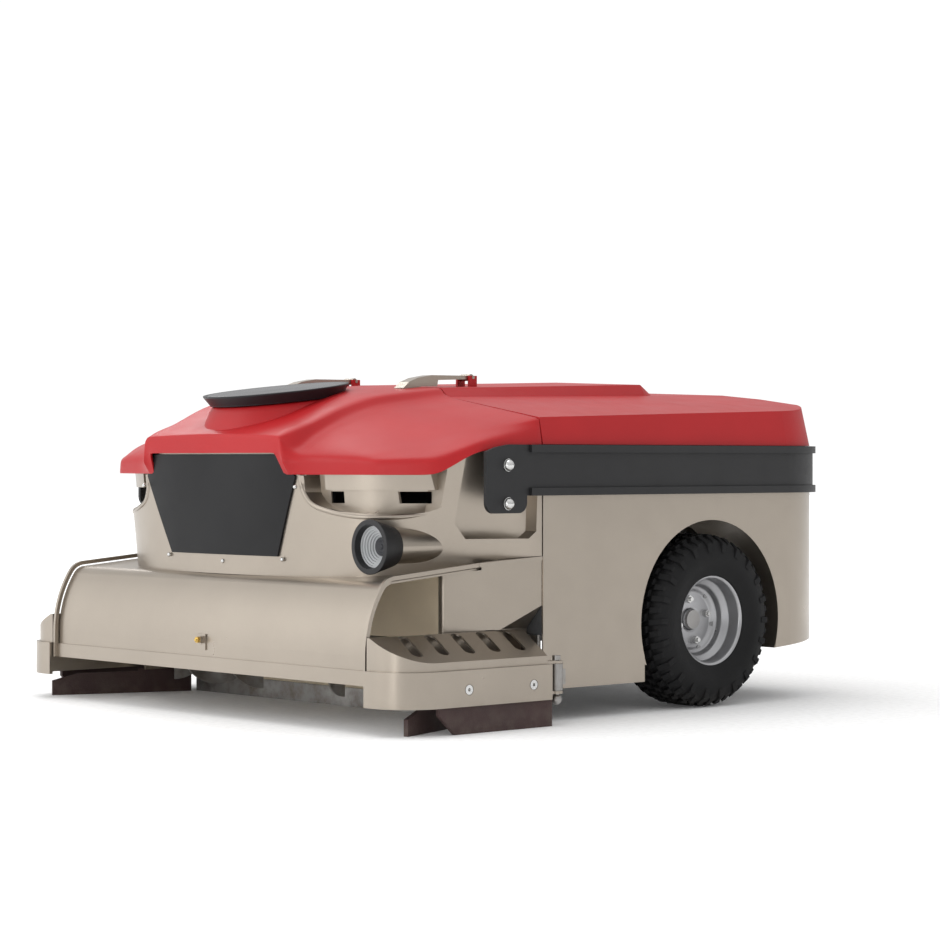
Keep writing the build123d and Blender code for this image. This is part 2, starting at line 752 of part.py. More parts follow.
def auger_axle():
    reach = side_wall_inner + 6
    return rod_x(auger_axle_radius, -reach, reach, auger_station, auger_z)


def flight(start, turns, hand):
    """One helical blade on the auger's tube."""
    inner, outer = auger_tube_radius - 0.5, auger_radius
    path = Helix(pitch=auger_pitch, height=auger_pitch * turns, radius=(inner + outer) / 2, lefthand=hand < 0)
    section = Plane(origin=path @ 0, z_dir=path % 0, x_dir=(path @ 0).normalized() * 1.0) * Rectangle(
        outer - inner, flight_thickness)
    blade = sweep(section, path=path, binormal=Edge.make_line((0, 0, 0), (0, 0, auger_pitch * turns)))
    return Pos(start, st(auger_station), auger_z) * Rot(0, 90, 0) * blade


def auger_rotor():
    """Tube on the fixed axle, with a left-hand and a right-hand blade that both feed the middle."""
    reach = side_wall_inner - 6
    tube = rod_x(auger_tube_radius, -reach, reach, auger_station, auger_z)
    tube = tube - rod_x(auger_tube_radius - auger_tube_wall, -reach + 20, reach - 20, auger_station, auger_z)
    tube = tube - rod_x(auger_axle_radius + fit_gap, -reach - 1, reach + 1, auger_station, auger_z)
    span = auger_pitch * auger_turns
    right = flight(-reach + 30, auger_turns, 1)
    left = flight(reach - 30 - span, auger_turns, -1)
    return tube + right + left


def duct_solid(radius):
    """Straight duct from over the auger up into the tank's front wall."""
    angle = radians(duct_angle)
    s0, z0 = auger_station + 30, auger_z + trough_radius - 18
    run = (tank_front_station + 40 + 30 - s0) / cos(angle)
    mid = (s0 + run / 2 * cos(angle), z0 + run / 2 * sin(angle))
    return Pos(0, st(mid[0]), mid[1]) * Rot(-(90 - duct_angle), 0, 0) * Cylinder(radius, run)


def suction_duct():
    tube = duct_solid(duct_radius) - duct_solid(duct_radius - duct_wall)
    keep_out = rod_x(trough_radius + housing_wall, -200, 200, auger_station, auger_z)
    tube = tube - keep_out
    return max(tube.solids(), key=lambda s: s.volume)


# ---------------------------------------------------------------- blades
def blade_between(a, b, thickness, z_a, z_b, z0=0):
    """An upright rubber blade from plan point a to plan point b, with its top at z_a and z_b."""
    (xa, sa), (xb, sb) = a, b
    size = hypot(xb - xa, sb - sa)
    face = Face(Polyline([Vector(0, 0, z0), Vector(size, 0, z0), Vector(size, 0, z_b), Vector(0, 0, z_a)],
                         close=True).wire())
    blade = extrude(face, amount=thickness, dir=(0, 1, 0))
    return Pos(xa, st(sa), 0) * Rot(0, 0, degrees(atan2(sb - sa, xb - xa))) * blade


guide_front = (671 - 640, 57)      # x beyond the body side, station
guide_back_x = 545


def guide_blade():
    """Diagonal blade that leads dirt from under the pod to the auger. It is low where the pod swings over it."""
    front = (half + guide_front[0], guide_front[1])
    back = (side_wall_inner, housing_front_station + 130)
    blade = blade_between(front, back, blade_thickness, 36, 130)
    under_pod = block(scoop_half - 4, pod_outer + 20, 0, pod_length + 60, bumper_low_z - 6, 300)
    clear_wall = block(side_wall_inner - 40, half, housing_front_station - 8, seam_station, 60, 300)
    return blade - under_pod - clear_wall


def squeegee_blade():
    s0 = auger_station + trough_radius + housing_wall
    x = side_wall_inner - 4
    return block(-x, x, s0, s0 + blade_thickness, 10, 104)


def squeegee_wear_strip():
    s0 = auger_station + trough_radius + housing_wall
    x = side_wall_inner - 4
    return block(-x, x, s0 - 4, s0, 0, 44)


# ---------------------------------------------------------------- pods
def pod_rear(x, inset=0.0):
    """Station of the pod's slanting rear edge at an X value."""
    return pod_length + pod_rear_slant * (pod_outer - x) / (pod_outer - pod_inner) - inset


def pod_outline(inset, z, inner_inset=None):
    """Plan of the left pod: one large round corner at the front outside, and a slanting rear edge."""
    inner_inset = inset if inner_inset is None else inner_inset
    x0, x1 = pod_inner + inner_inset, pod_outer - inset
    s0 = inset
    r = pod_corner - inset
    c = r * sqrt(0.5)

    def v(x, s):
        return Vector(x, st(s), z)

    return Face(Wire([
        Line(v(x0, pod_rear(x0, inset)), v(x0, s0)), Line(v(x0, s0), v(x1 - r, s0)),
        ThreePointArc(v(x1 - r, s0), v(x1 - r + c, s0 + r - c), v(x1, s0 + r)),
        Line(v(x1, s0 + r), v(x1, pod_rear(x1, inset))), Line(v(x1, pod_rear(x1, inset)), v(x0, pod_rear(x0, inset))),
    ]))


def pod_block(inset, inner_inset, z0, z1):
    return extrude(pod_outline(inset, z0, inner_inset), amount=z1 - z0, dir=(0, 0, 1))


def pod_over(drop):
    """What lies over the pod's top, which falls towards its outer side, lowered by drop."""
    a, b = pod_inner + 8, pod_outer
    return extrude(front_face([(a - 60, pod_top_z - drop), (a, pod_top_z - drop), (b, pod_edge_z - drop),
                               (b + 60, pod_edge_z - 29 - drop), (b + 60, 400), (a - 60, 400)], -60),
                   amount=pod_length + 200, dir=(0, 1, 0))


def pod():
    outer = pod_block(bumper_thickness, 0, pod_low_z, 300) - pod_over(0)
    w = pod_wall
    inner = pod_block(bumper_thickness + w, w, pod_low_z - 1, 300) - pod_over(pod_wall)
    shell = outer - inner
    for i in range(slot_count):
        s = first_slot_station + i * slot_pitch
        slot = Pos(pod_inner + 52, st(s), 190) * Rot(0, 27, 0) * Rot(0, 0, -14) * SlotOverall(slot_length, slot_width)
        shell = shell - extrude(slot, amount=60, both=True)
    for s in bumper_screw_stations():
        shell = shell - rod_x(bumper_hole_radius, pod_outer - 40, pod_outer, s, bumper_mid_z())
    ear_low = hinge_ear_block(hinge_barrel_low_z - 1 - hinge_ear)
    ear_high = hinge_ear_block(hinge_barrel_low_z + hinge_barrel_height + 1)
    shell = shell + ear_low + ear_high - hinge_hole()
    return max(shell.solids(), key=lambda s: s.volume)


def hinge_ear_block(z):
    r = hinge_barrel_radius
    ear = block(hinge_x - r, pod_outer - bumper_thickness, pod_length - bumper_thickness - 3, hinge_station, z, z + hinge_ear)
    return ear + rod_z(r, hinge_x, hinge_station, z, z + hinge_ear)


def hinge_hole():
    return rod_z(hinge_pin_radius + fit_gap, hinge_x, hinge_station, 0, 300)


def bumper_screw_stations():
    return [pod_length * 0.43, pod_length * 0.87]


def bumper_mid_z():
    return bumper_low_z + bumper_height * 0.46


def bumper():
    z0, z1 = bumper_low_z, bumper_low_z + bumper_height
    band = pod_block(0, 0, z0, z1) - pod_block(bumper_thickness, 0, z0 - 1, z1 + 1)
    t = bumper_thickness
    x0, x1 = pod_inner - 5, pod_outer - t
    band = band - plan_prism([(x0, pod_rear(x0, t + 1)), (x1, pod_rear(x1, t + 1)), (x1, pod_rear(x0) + 20),
                              (x0, pod_rear(x0) + 20)], z0 - 1, z1 + 1)
    for s in bumper_screw_stations():
        band = band - rod_x(bumper_hole_radius, pod_outer - 40, pod_outer + 5, s, bumper_mid_z())
        band = band - rod_x(screw_head_radius + 1.5, pod_outer - 3, pod_outer + 5, s, bumper_mid_z())
    return max(band.solids(), key=lambda s: s.volume)


def bumper_screws():
    shapes = []
    for s in bumper_screw_stations():
        head = rod_x(screw_head_radius, pod_outer - 3, pod_outer, s, bumper_mid_z())
        shank = rod_x(bumper_hole_radius - 0.3, pod_outer - 30, pod_outer - 3, s, bumper_mid_z())
        socket = Pos(pod_outer, st(s), bumper_mid_z()) * Rot(0, 90, 0) * extrude(RegularPolygon(4, 6), amount=6, both=True)
        shapes.append(head + shank - socket)
    return shapes


def side_skirt():
    """Rubber blade along the outside of the pod, fixed inside the bumper."""
    x = pod_outer - bumper_thickness - 1
    s0, s1 = pod_corner + 8, pod_length + 8
    blade = block(x - blade_thickness, x, s0, s1, 0, bumper_low_z + 4)
    nose = side_prism([(s0 - 5, 0), (s0 + 45, 0), (s0 - 5, 48)], x - 20, x + 5)
    return blade - nose - block(x - 30, x + 5, 0, pod_length + 40, pod_low_z - 0.5, 200)


def hinge_pins():
    """Barrel, pin and dome nut of each pod hinge, on a bracket bolted to the front crossmember."""
    z0, z1 = hinge_barrel_low_z, hinge_barrel_low_z + hinge_barrel_height
    barrel = rod_z(hinge_barrel_radius, hinge_x, hinge_station, z0, z1)
    pin = rod_z(hinge_pin_radius, hinge_x, hinge_station, z0 - 12, z1 + 16)
    cap = rod_z(hinge_pin_radius + 3, hinge_x, hinge_station, z1 + hinge_ear + 2, z1 + 18)
    nut = Pos(hinge_x, st(hinge_station), z0 - 20) * Sphere(12)
    arm = block(scoop_half + 2, hinge_x + 6, seam_station - 9, seam_station - 1, z0 + 12, z1 - 12)
    stub = block(hinge_x - 6, hinge_x + 6, hinge_station, seam_station - 1, z0 + 12, z1 - 12)
    plate = block(scoop_half + 2, half - 8, seam_station - 9, seam_station, z0 + 12, pod_top_z - 12)
    whole = barrel + pin + cap + nut + arm + stub + plate
    return [whole, mirrored(whole)]


# ---------------------------------------------------------------- wheels
def revolve_x(points, station, z):
    """Turns (x, r) points about the X-parallel axis through a station and height."""
    face = Face(Polyline([Vector(x, st(station), z + r) for x, r in points], close=True).wire())
    return revolve(face, axis=Axis((0, st(station), z), (1, 0, 0)), revolution_arc=360)


def tyre():
    c, w = wheel_centre_x, wheel_width / 2
    r = wheel_radius
    bead = rim_flange_diameter / 2 - 13
    seat = rim_width / 2 - 6
    points = [(c - seat, bead), (c - seat, bead + 16), (c - w, bead + 38), (c - w, r - 34), (c - w + 10, r - 10),
              (c - w + 26, r), (c + w - 26, r), (c + w - 10, r - 10), (c + w, r - 34), (c + w, bead + 38),
              (c + seat, bead + 16), (c + seat, bead), (c + seat - 12, bead), (c + seat - 10, bead + 30),
              (c + w - 14, bead + 44), (c + w - 14, r - 34), (c + w - 30, r - 16), (c - w + 30, r - 16),
              (c - w + 14, r - 34), (c - w + 14, bead + 44), (c - seat + 10, bead + 30), (c - seat + 12, bead)]
    return revolve_x(points, axle_station, wheel_radius)


disc_x_inset = 72          # wheel disc behind the outer rim flange
disc_thickness = 6
lug_circle_radius = 50
lug_count = 4
rim_bolt_circle_radius = 72
rim_bolt_count = 6
wheel_bore_radius = 22


def rim():
    c, w = wheel_centre_x, rim_width / 2
    f = rim_flange_diameter / 2
    bead = f - 13.5
    t = 4
    # barrel with two flanges and a drop in its middle
    points = [(c - w, f), (c - w, f - 18), (c - w + t, f - 18), (c - 22, f - 18), (c - 16, f - 32), (c + 16, f - 32),
              (c + 22, f - 18), (c + w - t, f - 18), (c + w, f - 18), (c + w, f), (c + w - 4, f),
              (c + w - 5.5, bead), (c + 25, bead), (c + 19, f - 28), (c - 19, f - 28), (c - 25, bead),
              (c - w + 5.5, bead), (c - w + 4, f)]
    barrel = revolve_x(points, axle_station, wheel_radius)
    x1 = rim_outer_x - disc_x_inset
    disc = rod_x(f - 30, x1 - disc_thickness, x1, axle_station, wheel_radius)
    disc = disc - rod_x(wheel_bore_radius + fit_gap * 4, x1 - 20, x1 + 20, axle_station, wheel_radius)
    wheel = barrel + disc
    for y, z in circle_spots(lug_circle_radius, lug_count, 14):
        wheel = wheel - Pos(x1, st(axle_station) + y, wheel_radius + z) * Rot(0, 90, 0) * Cylinder(5.2, 40)
    return wheel


def circle_spots(radius, count, start):
    return [(radius * cos(radians(start + 360 * i / count)), radius * sin(radians(start + 360 * i / count)))
            for i in range(count)]


def lug_nuts():
    """Hexagon nuts on the hub studs and on the bolts that hold the rim's two halves."""
    shapes = []
    x1 = rim_outer_x - disc_x_inset
    for y, z in circle_spots(lug_circle_radius, lug_count, 14):
        place = Pos(x1, st(axle_station) + y, wheel_radius + z) * Rot(0, 90, 0)
        nut = place * extrude(RegularPolygon(9, 6), amount=13)
        stud = place * Pos(0, 0, 3) * Cylinder(5, 32)
        shapes.append(nut + stud)
    for y, z in circle_spots(rim_bolt_circle_radius, rim_bolt_count, 49):
        place = Pos(x1, st(axle_station) + y, wheel_radius + z) * Rot(0, 90, 0)
        shapes.append(place * extrude(RegularPolygon(6.5, 6), amount=8))
    return shapes


motor_inner_x = rail_inner_half + rail_width
motor_radius = 55
drive_shaft_radius = 17


def hub_face_x():
    return rim_outer_x - disc_x_inset - disc_thickness


def wheel_hub():
    """Hub flange with its spigot, and the shaft that runs into the gearmotor."""
    x1 = hub_face_x()
    flange = rod_x(66, x1 - 12, x1, axle_station, wheel_radius)
    spigot = rod_x(wheel_bore_radius, x1, x1 + disc_thickness + 12, axle_station, wheel_radius)
    shaft = rod_x(drive_shaft_radius, gearmotor_outer_x() - 60, x1 - 12, axle_station, wheel_radius)
    hub = flange + spigot + shaft
    for y, z in circle_spots(lug_circle_radius, lug_count, 14):
        hub = hub - Pos(x1, st(axle_station) + y, wheel_radius + z) * Rot(0, 90, 0) * Cylinder(5.2, 40)
    return hub


def gearmotor_outer_x():
    return wheel_centre_x - wheel_width / 2 - 20


def gearmotor():
    """Motor can, gearbox block and mounting flange, bolted to the side of the frame rail."""
    x0, x1 = motor_inner_x, gearmotor_outer_x()
    can = rod_x(motor_radius - 6, x0, x0 + 150, axle_station, wheel_radius)
    gearbox = block(x0 + 150, x1, axle_station - motor_radius, axle_station + motor_radius,
                    wheel_radius - motor_radius, wheel_radius + motor_radius)
    hole = rod_x(drive_shaft_radius + fit_gap, x1 - 62, x1 + 5, axle_station, wheel_radius)
    flange = block(x0, x0 + 8, axle_station - 70, axle_station + 70, rail_low_z, wheel_radius + 60)
    return can + gearbox + flange - hole


# ---------------------------------------------------------------- caster
swivel_radius = 30


def caster_mount():
    plate = block(-rail_inner_half - rail_width, rail_inner_half + rail_width, caster_station - 70, caster_station + 70,
                  rail_low_z - 8, rail_low_z)
    boss = rod_z(swivel_radius, 0, caster_station, rail_low_z - 20, rail_low_z - 8)
    socket = rod_z(10 + fit_gap, 0, caster_station, rail_low_z - 30, rail_low_z + 5)
    return plate + boss - socket


def caster_fork():
    top = rail_low_z - 20.5
    s = caster_station + caster_trail
    inside = caster_wheel_width / 2 + 3
    crown = block(-inside - 5, inside + 5, caster_station - 30, s + 16, top - 8, top)
    stem = rod_z(10, 0, caster_station, top - 4, rail_low_z + 4)
    fork = crown + stem
    for side in (-1, 1):
        x0 = side * inside
        cheek = side_prism([(caster_station - 30, top - 4), (s + 16, top - 4), (s + 16, caster_wheel_radius - 12),
                            (s - 16, caster_wheel_radius - 12)], x0, x0 + side * 5)
        fork = fork + cheek
    axle = rod_x(caster_axle_radius, -inside - 8, inside + 8, s, caster_wheel_radius)
    return fork + axle


def caster_wheel():
    s = caster_station + caster_trail
    r, w = caster_wheel_radius, caster_wheel_width / 2
    points = [(-w, caster_axle_radius + fit_gap), (-w, r - 8), (-w + 8, r), (w - 8, r), (w, r - 8),
              (w, caster_axle_radius + fit_gap)]
    return revolve_x(points, s, r)


# ---------------------------------------------------------------- what the front shell holds
def deck_feet(x0, x1, s0, s1, z):
    """Two pads that level a box on the sloping deck."""
    pads = block(x0, x0 + 24, s0, s1, 300, z) + block(x1 - 24, x1, s0, s1, 300, z)
    return pads - below_deck(sheet_inset)


def battery_pack():
    case = block(-270, 270, 182, 316, 366, 536)
    return fillet(case.edges().filter_by(Axis.Z), 10) + deck_feet(-250, 250, 200, 300, 366)


def control_box():
    case = block(-180, 180, 336, 456, 410, 590)
    return fillet(case.edges().filter_by(Axis.Z), 6) + deck_feet(-170, 170, 350, 440, 410)


def water_tank():
    case = block(-430, -200, 336, 460, 386, 590)
    case = fillet(case.edges().filter_by(Axis.Z), 20)
    return case + rod_z(26, -315, 402, 588, 602) + deck_feet(-410, -220, 350, 440, 386)


def vacuum_pump():
    body = rod_x(60, 230, 420, 398, 466)
    foot = block(250, 400, 350, 446, 386, 420)
    port = rod_z(20, 300, 398, 500, 590)
    return body + foot + port + deck_feet(250, 400, 350, 446, 386)


# ---------------------------------------------------------------- small parts outside
def sonar_cone(extra):
    """The sonar shroud's outside, seated on the shell."""
    s0, s1 = sonar_station, sonar_station + sonar_length
    cone = Cone(sonar_radius + extra, sonar_neck_radius + extra, sonar_length)
    return Pos(sonar_side, st((s0 + s1) / 2), sonar_z) * Rot(-90, 0, 0) * cone


def sonar_shroud():
    """Black funnel round the sonar, wide at the front."""
    funnel = Cone(sonar_radius - 6, 34, 40)
    return sonar_cone(0) - Pos(sonar_side, st(sonar_station + 19.9), sonar_z) * Rot(-90, 0, 0) * funnel


def sonar_diaphragm():
    s = sonar_station + 39.5
    disc = rod_y(33, sonar_side, s - 6, s - 0.5, sonar_z)
    for r in (27, 21):
        disc = disc - rod_y(r, sonar_side, s - 8, s - 6 + 1.5 * (33 - r) / 6, sonar_z)
    return disc + rod_y(9, sonar_side, s - 9, s - 1, sonar_z)


nozzle_z = 171


def nozzle_bracket():
    """Folded bracket that screws to the scoop and carries the spray nozzle."""
    s = scoop_front_station + sheet_inset
    plate = block(-16, 16, s - 3, s, nozzle_z - 22, nozzle_z + 14)
    arm = block(-9, 9, s - 11, s - 3, nozzle_z - 7, nozzle_z + 9)
    return plate + arm - rod_y(5, 0, s - 30, s + 0.5, nozzle_z + 1)


def spray_nozzle():
    s = scoop_front_station + sheet_inset
    body = Pos(0, st(s - 13.5), nozzle_z + 1) * Rot(90, 0, 0) * extrude(RegularPolygon(7.5, 6), amount=2.5, both=True)
    tip = Pos(0, st(s - 18), nozzle_z + 1) * Rot(-90, 0, 0) * Cone(3, 5, 4)
    shank = rod_y(4.9, 0, s - 12, s - 1, nozzle_z + 1)
    return body + tip + shank


button_z = band_low_z + band_height / 2


def button_bore():
    return rod_y(10 + fit_gap, 240, rear_outer_station - 40, length + 5, button_z)


def emergency_stop():
    """Mushroom push button in the back of the rub rail."""
    web = rear_outer_station + band_web
    stem = rod_y(10, 240, web - 40, web + button_travel + 1, button_z)
    return stem + rod_y(button_radius, 240, web + button_travel + 0.5, length, button_z)


# ---------------------------------------------------------------- write
def main():
    os.makedirs("parts", exist_ok=True)
    both("frame_rail", frame_rail())
    write("front_crossmember", crossmember(seam_station, half - shell_wall))
    write("rear_crossmember", crossmember(rear_member_station(), half - rear_corner))
    write("manure_tank", manure_tank())
    write("dump_gate", dump_gate())
    write("suction_duct", suction_duct())
    write("vacuum_pump", vacuum_pump())
    write("battery_pack", battery_pack())
    write("control_box", control_box())
    write("water_tank", water_tank())
    write("front_shell", front_shell())
    write("front_panel", front_panel())
    write("panel_screws", *panel_screws())
    write("rear_shell", rear_shell())
    write("rub_rail", rub_rail())
    write("rub_rail_nuts", *rub_rail_nuts())
    write("scoop_hood", scoop_hood())
    both("rim_bar", rim_bar())
    write("auger_housing", auger_housing())
    both("side_wall", side_wall())
    write("squeegee_blade", squeegee_blade())
    write("squeegee_wear_strip", squeegee_wear_strip())
    both("guide_blade", guide_blade())
    write("nozzle_bracket", nozzle_bracket())
    write("spray_nozzle", spray_nozzle())
    write("sonar_shroud", sonar_shroud())
    write("sonar_diaphragm", sonar_diaphragm())
    both("gearmotor", gearmotor())
    write("auger_axle", auger_axle())
    write("pod_hinge_pins", *hinge_pins())
    both("pod", pod())
    both("bumper", bumper())
    for name, shapes in (("bumper_screws", bumper_screws()), ("lug_nuts", lug_nuts())):
        write(f"left_{name}", *shapes)
        write(f"right_{name}", *[mirrored(s) for s in shapes])
    both("side_skirt", side_skirt())
    write("auger_rotor", auger_rotor())
    both("tyre", tyre())
    both("rim", rim())
    both("wheel_hub", wheel_hub())
    write("caster_mount", caster_mount())
    write("caster_fork", caster_fork())
    write("caster_wheel", caster_wheel())
    write("front_hood", front_hood())
    write("hinge_straps", *hinge_straps())
    write("rear_lid", rear_lid())
    write("control_panel", control_panel())
    write("emergency_stop", emergency_stop())


main()
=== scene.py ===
from math import cos, pi, radians, sin

import bmesh
import bpy
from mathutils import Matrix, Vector
from mathutils.bvhtree import BVHTree


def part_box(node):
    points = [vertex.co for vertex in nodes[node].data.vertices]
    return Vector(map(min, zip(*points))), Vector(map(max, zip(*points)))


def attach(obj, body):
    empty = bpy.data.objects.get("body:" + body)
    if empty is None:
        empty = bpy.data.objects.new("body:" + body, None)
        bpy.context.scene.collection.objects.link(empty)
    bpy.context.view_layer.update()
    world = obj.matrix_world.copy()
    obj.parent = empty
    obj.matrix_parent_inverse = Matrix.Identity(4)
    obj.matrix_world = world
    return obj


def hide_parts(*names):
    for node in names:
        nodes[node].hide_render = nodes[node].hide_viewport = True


# The robotic floor cleaner's looks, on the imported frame. Metres, +Z up, -Y forwards, +X the machine's left.
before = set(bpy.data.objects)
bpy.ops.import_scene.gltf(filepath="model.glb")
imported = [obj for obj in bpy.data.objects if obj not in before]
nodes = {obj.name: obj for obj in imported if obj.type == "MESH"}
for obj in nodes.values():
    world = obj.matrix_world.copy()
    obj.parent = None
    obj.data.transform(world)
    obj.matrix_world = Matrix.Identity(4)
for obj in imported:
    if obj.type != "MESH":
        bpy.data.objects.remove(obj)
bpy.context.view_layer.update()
front_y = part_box("left_bumper")[0][1]
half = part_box("rear_shell")[1][0]
wide = half / 0.64    # the body's half width over the one that the rows and lips below are written for

# ---------------------------------------------------------------- materials


def new_material(name):
    mat = bpy.data.materials.new(name)
    mat.use_nodes = True
    tree = mat.node_tree
    return mat, tree, tree.nodes["Principled BSDF"]


def add(tree, kind, inputs=None, **settings):
    node = tree.nodes.new(kind)
    for key, value in settings.items():
        setattr(node, key, value)
    for key, value in (inputs or {}).items():
        node.inputs[key].default_value = value
    return node


def ramp(tree, source, low, high, pos=(0.3, 0.7)):
    """A colour ramp between two colours, driven by source."""
    node = add(tree, "ShaderNodeValToRGB")
    for element, place, colour in zip(node.color_ramp.elements, pos, (low, high)):
        element.position = place
        element.color = (*colour, 1) if len(colour) == 3 else colour
    tree.links.new(source, node.inputs["Fac"])
    return node.outputs["Color"]


def noise(tree, vector, scale, detail=4.0, rough=0.55, stretch=None):
    if stretch:
        mapping = add(tree, "ShaderNodeMapping", {"Scale": stretch})
        tree.links.new(vector, mapping.inputs["Vector"])
        vector = mapping.outputs["Vector"]
    node = add(tree, "ShaderNodeTexNoise", {"Scale": scale, "Detail": detail, "Roughness": rough})
    tree.links.new(vector, node.inputs["Vector"])
    return node.outputs["Fac"]


def scaled(colour, k):
    return tuple(min(1.0, c * k) for c in colour)


def finish_material(name, colour, metallic, rough, grain=900, bump=0.0002, spread=0.10, rough_spread=0.08, coat=0.0,
                    coat_rough=0.2, dirt=None, dirt_height=0.35, stretch=None, specular=0.5):
    """A painted, moulded or metal finish: tone drifts, fine grain in bump and roughness, and dust low down."""
    mat, tree, shader = new_material(name)
    vector = add(tree, "ShaderNodeTexCoord").outputs["Object"]
    broad = noise(tree, vector, 5.0, 5.0)
    fine = noise(tree, vector, grain, 3.0, 0.6, stretch)
    tone = ramp(tree, broad, scaled(colour, 1 - spread), scaled(colour, 1 + spread))
    speck = ramp(tree, fine, (0.93, 0.93, 0.93), (1.0, 1.0, 1.0), (0.35, 0.6))
    mix = add(tree, "ShaderNodeMix", {"Factor": 1.0}, data_type="RGBA", blend_type="MULTIPLY")
    tree.links.new(tone, mix.inputs["A"])
    tree.links.new(speck, mix.inputs["B"])
    colour_out = mix.outputs["Result"]
    if dirt:
        split = add(tree, "ShaderNodeSeparateXYZ")
        tree.links.new(vector, split.inputs[0])
        low = add(tree, "ShaderNodeMapRange", {"From Min": dirt_height, "From Max": 0.0, "To Min": 0.0, "To Max": 1.0})
        tree.links.new(split.outputs["Z"], low.inputs["Value"])
        patch = ramp(tree, noise(tree, vector, 23.0, 8.0, 0.65), (0, 0, 0), (1, 1, 1), (0.42, 0.75))
        amount = add(tree, "ShaderNodeMath", operation="MULTIPLY")
        tree.links.new(low.outputs["Result"], amount.inputs[0])
        tree.links.new(patch, amount.inputs[1])
        over = add(tree, "ShaderNodeMix", data_type="RGBA")
        tree.links.new(amount.outputs[0], over.inputs["Factor"])
        tree.links.new(colour_out, over.inputs["A"])
        over.inputs["B"].default_value = (*dirt, 1)
        colour_out = over.outputs["Result"]
    tree.links.new(colour_out, shader.inputs["Base Color"])
    rough_map = add(tree, "ShaderNodeMapRange", {"To Min": rough - rough_spread, "To Max": rough + rough_spread})
    tree.links.new(noise(tree, vector, 14.0, 6.0), rough_map.inputs["Value"])
    tree.links.new(rough_map.outputs["Result"], shader.inputs["Roughness"])
    shader.inputs["Metallic"].default_value = metallic
    shader.inputs["Specular IOR Level"].default_value = specular
    shader.inputs["Coat Weight"].default_value = coat
    shader.inputs["Coat Roughness"].default_value = coat_rough
    bump_node = add(tree, "ShaderNodeBump", {"Strength": 0.6, "Distance": bump})
    tree.links.new(fine, bump_node.inputs["Height"])
    tree.links.new(bump_node.outputs["Normal"], shader.inputs["Normal"])
    return mat


gold = finish_material("champagne_paint", (0.385, 0.338, 0.285), 0.90, 0.31, grain=1500, bump=0.00010, spread=0.04,
                       coat=0.12, coat_rough=0.20, dirt=(0.22, 0.19, 0.15), dirt_height=0.08)
# The auger housing is the body's gold, made lighter and not metallic: painted light standing in for bounce light in the
# scoop's shade.
bounce_lit_housing_gold = finish_material("housing_gold_painted_bright", (0.78, 0.66, 0.48), 0.0, 0.50, grain=1200, bump=0.0001, spread=0.07)
red = finish_material("red_paint", (0.41, 0.010, 0.013), 0.0, 0.44, grain=1100, bump=0.0001, spread=0.05, coat=0.06,
                      coat_rough=0.30, specular=0.28)
black = finish_material("black_moulding", (0.012, 0.012, 0.013), 0.0, 0.50, grain=700, bump=0.0004, spread=0.15,
                        specular=0.40)
panel_black = finish_material("panel_moulding", (0.007, 0.007, 0.008), 0.0, 0.44, grain=900, bump=0.0002, spread=0.2,
                              specular=0.22)
blade_rubber = finish_material("blade_rubber", (0.050, 0.024, 0.022), 0.0, 0.62, grain=260, bump=0.0010, spread=0.25,
                               dirt=(0.10, 0.075, 0.06), dirt_height=0.06)
tyre_rubber = finish_material("tyre_rubber", (0.0075, 0.0075, 0.008), 0.0, 0.66, grain=320, bump=0.0010, spread=0.3,
                              dirt=(0.05, 0.046, 0.042), dirt_height=0.05, specular=0.22)
rim_silver = finish_material("rim_silver", (0.42, 0.42, 0.43), 0.90, 0.30, grain=1300, bump=0.0001, spread=0.06)
zinc = finish_material("bright_zinc", (0.62, 0.62, 0.61), 1.0, 0.22, grain=600, bump=0.0002, spread=0.12)
steel = finish_material("worn_steel", (0.40, 0.39, 0.38), 1.0, 0.34, grain=240, bump=0.0004, spread=0.2,
                        stretch=(1, 12, 12), dirt=(0.16, 0.13, 0.10), dirt_height=0.2)
stainless = finish_material("brushed_stainless", (0.52, 0.52, 0.51), 1.0, 0.30, grain=420, bump=0.0002, spread=0.1,
                            stretch=(1, 1, 18))
coated = finish_material("powder_coat", (0.060, 0.062, 0.066), 0.1, 0.50, grain=520, bump=0.0006, spread=0.2)
casting = finish_material("painted_casting", (0.055, 0.065, 0.072), 0.2, 0.52, grain=180, bump=0.0014, spread=0.25)
brass = finish_material("turned_brass", (0.62, 0.42, 0.12), 1.0, 0.25, grain=900, bump=0.0002, spread=0.15)
light_plastic = finish_material("light_plastic", (0.42, 0.43, 0.44), 0.0, 0.45, grain=900, bump=0.0003, spread=0.1)
white_plastic = finish_material("white_plastic", (0.62, 0.63, 0.60), 0.0, 0.40, grain=400, bump=0.0003, spread=0.06)
dark_plastic = finish_material("dark_plastic", (0.030, 0.031, 0.036), 0.0, 0.5, grain=600, bump=0.0006, spread=0.2)
panel_glass = finish_material("panel_glass", (0.012, 0.014, 0.020), 0.0, 0.22, grain=2000, bump=0.00002, spread=0.3,
                              rough_spread=0.04, coat=0.10, coat_rough=0.10, specular=0.15)
panel_body = finish_material("panel_body", (0.012, 0.012, 0.014), 0.0, 0.42, grain=900, bump=0.0002, spread=0.15,
                             specular=0.3)
grey_paint = finish_material("grey_enclosure", (0.33, 0.34, 0.35), 0.0, 0.42, grain=900, bump=0.0003, spread=0.08)
button_red = finish_material("button_red", (0.55, 0.012, 0.012), 0.0, 0.25, grain=900, bump=0.0001, spread=0.08)

